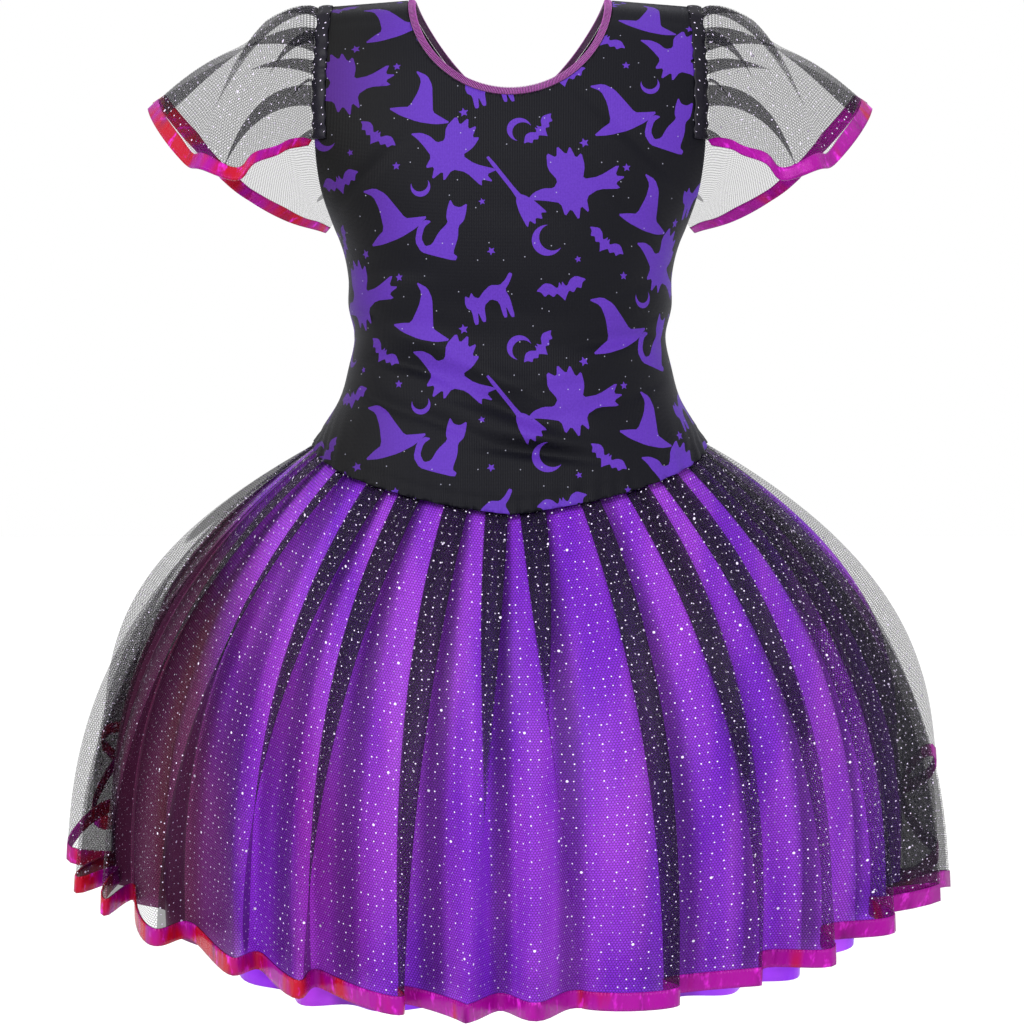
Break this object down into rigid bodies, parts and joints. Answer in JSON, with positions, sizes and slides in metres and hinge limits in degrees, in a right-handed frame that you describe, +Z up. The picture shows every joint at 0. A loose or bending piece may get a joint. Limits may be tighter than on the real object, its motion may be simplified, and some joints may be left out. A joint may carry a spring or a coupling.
{
  "type": "witch costume dress",
  "caption": "Child's witch dress with a printed bodice, fluttering net sleeves and a gathered net skirt over a satin lining, hollow as if worn.",
  "frame": {"origin": "midway between the two neck points and level with them, where a figure's shoulders hold the dress", "axes": "+Z up, the dress faces -Y, +X to the right of someone who looks at its front"},
  "size_m": [0.5957, 0.5168, 0.64],
  "materials": {
    "printed_knit": "black stretch knit with a purple print and a faint sheen",
    "magenta_thread": "glossy magenta overlock thread",
    "glitter_net": "black net with silver glitter dots",
    "magenta_ribbon": "glossy magenta satin ribbon",
    "purple_satin": "purple lining satin with a soft gloss"
  },
  "bodies": {
    "root": {"bodice_front": "printed_knit", "bodice_back": "printed_knit", "neck_edge_front": "magenta_thread", "neck_edge_back": "magenta_thread", "armhole_band_right": "glitter_net", "armhole_band_left": "glitter_net", "sleeve_right": "glitter_net", "sleeve_left": "glitter_net", "sleeve_ribbon_right": "magenta_ribbon", "sleeve_ribbon_left": "magenta_ribbon", "net_skirt_front": "glitter_net", "net_skirt_back": "glitter_net", "hem_ribbon_front": "magenta_ribbon", "hem_ribbon_back": "magenta_ribbon", "lining_front": "purple_satin", "lining_back": "purple_satin"}
  },
  "joints": []
}
